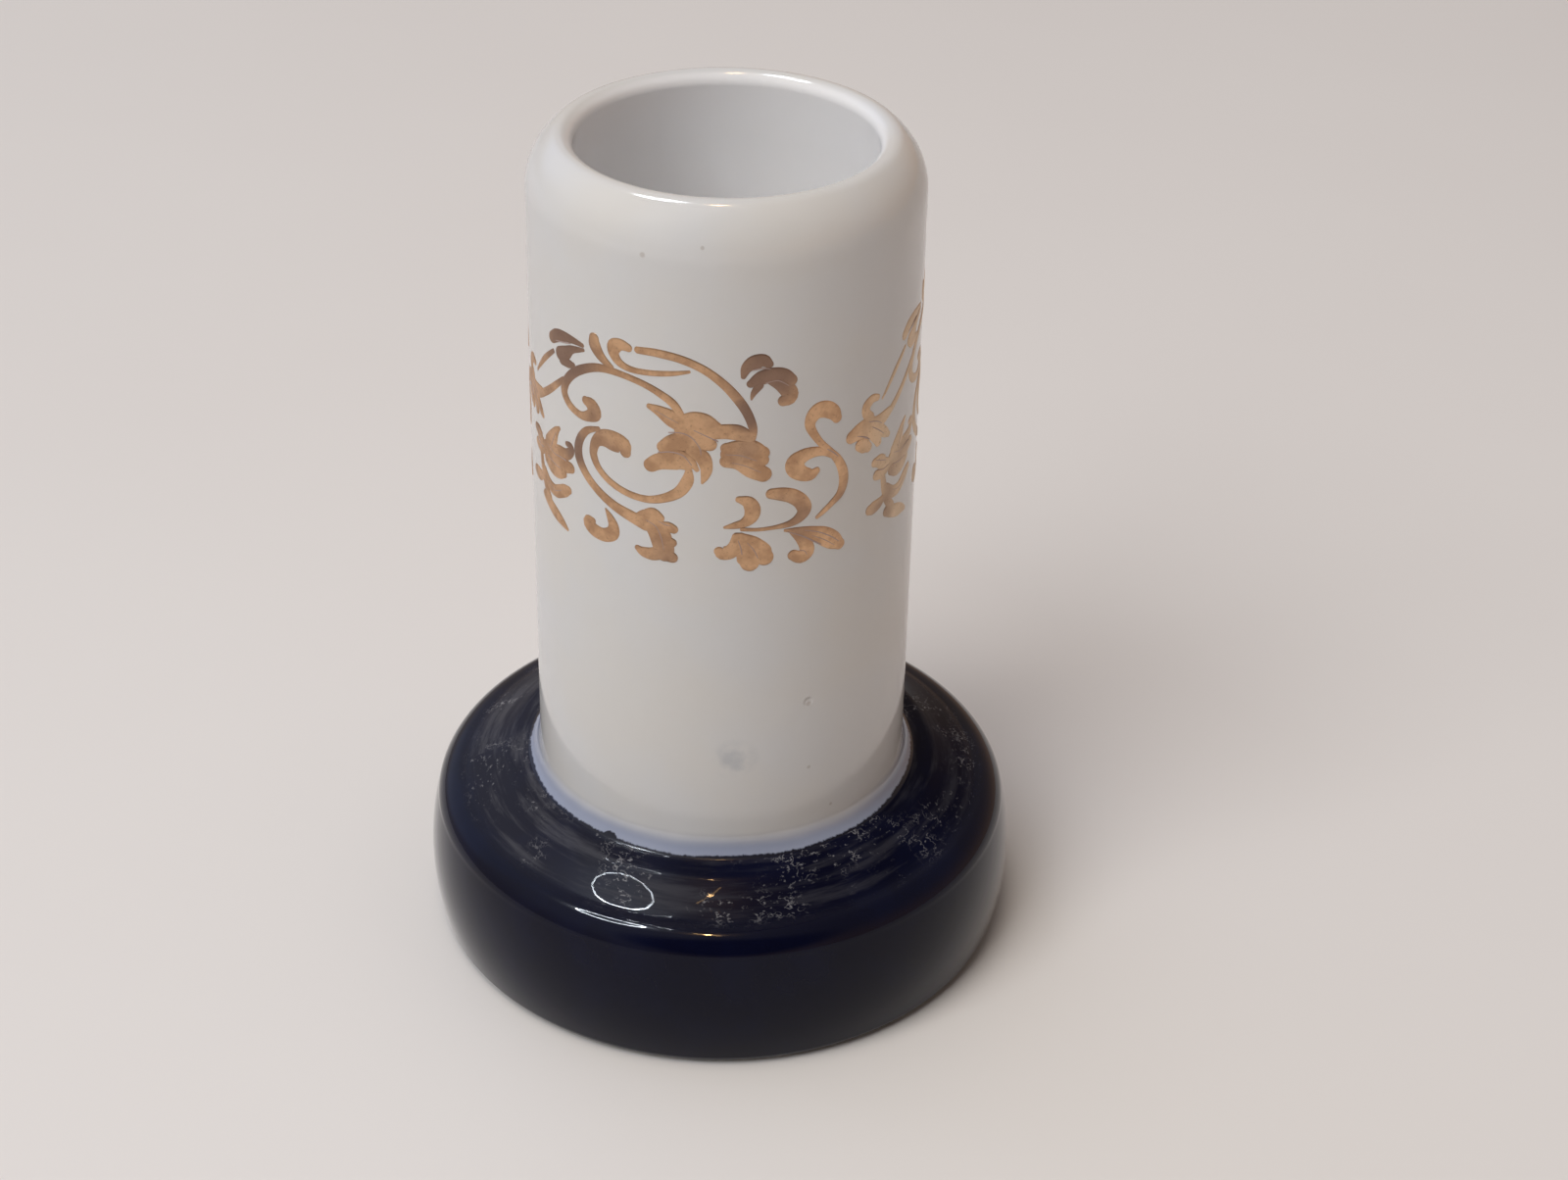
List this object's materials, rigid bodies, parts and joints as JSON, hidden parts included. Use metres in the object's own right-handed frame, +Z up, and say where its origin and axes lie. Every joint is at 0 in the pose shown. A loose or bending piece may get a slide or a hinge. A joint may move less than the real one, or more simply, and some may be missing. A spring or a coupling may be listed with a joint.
{
  "type": "small porcelain bell",
  "caption": "Small porcelain bell: open white tube with rolled lip and gilt scrollwork, set on a heavy cobalt-glazed sound ring, with a clapper swinging inside.",
  "frame": {"origin": "centre of the ring's flat foot, on the surface that the bell stands on", "axes": "+Z up along the bell's axis; X is the line of the clapper's stirrup bar, so the clapper swings towards +Y and -Y"},
  "size_m": [0.05, 0.05, 0.0707],
  "materials": {
    "white_porcelain": "gloss",
    "cobalt_glaze": "gloss",
    "brass": "satin",
    "felt": "matte",
    "turned_wood": "satin",
    "gilding": "satin"
  },
  "bodies": {
    "shell": {"white_tube": "white_porcelain", "cobalt_ring": "cobalt_glaze", "felt_washer": "felt"},
    "hanger": {"brass_washer": "brass", "hanger_pin": "brass", "lock_collar": "brass"},
    "clapper": {"clapper_wire": "brass", "clapper_ball": "turned_wood", "end_stop": "brass"}
  },
  "joints": [
    {"name": "hanger_swivel", "type": "hinge", "parent": "shell", "child": "hanger", "pos_m": [0, 0, 0.045], "axis": [0, 0, 1], "continuous": true},
    {"name": "clapper_swing", "type": "hinge", "parent": "hanger", "child": "clapper", "pos_m": [0, 0, 0.0388], "axis": [1, 0, 0], "range_deg": [-20, 20]}
  ]
}
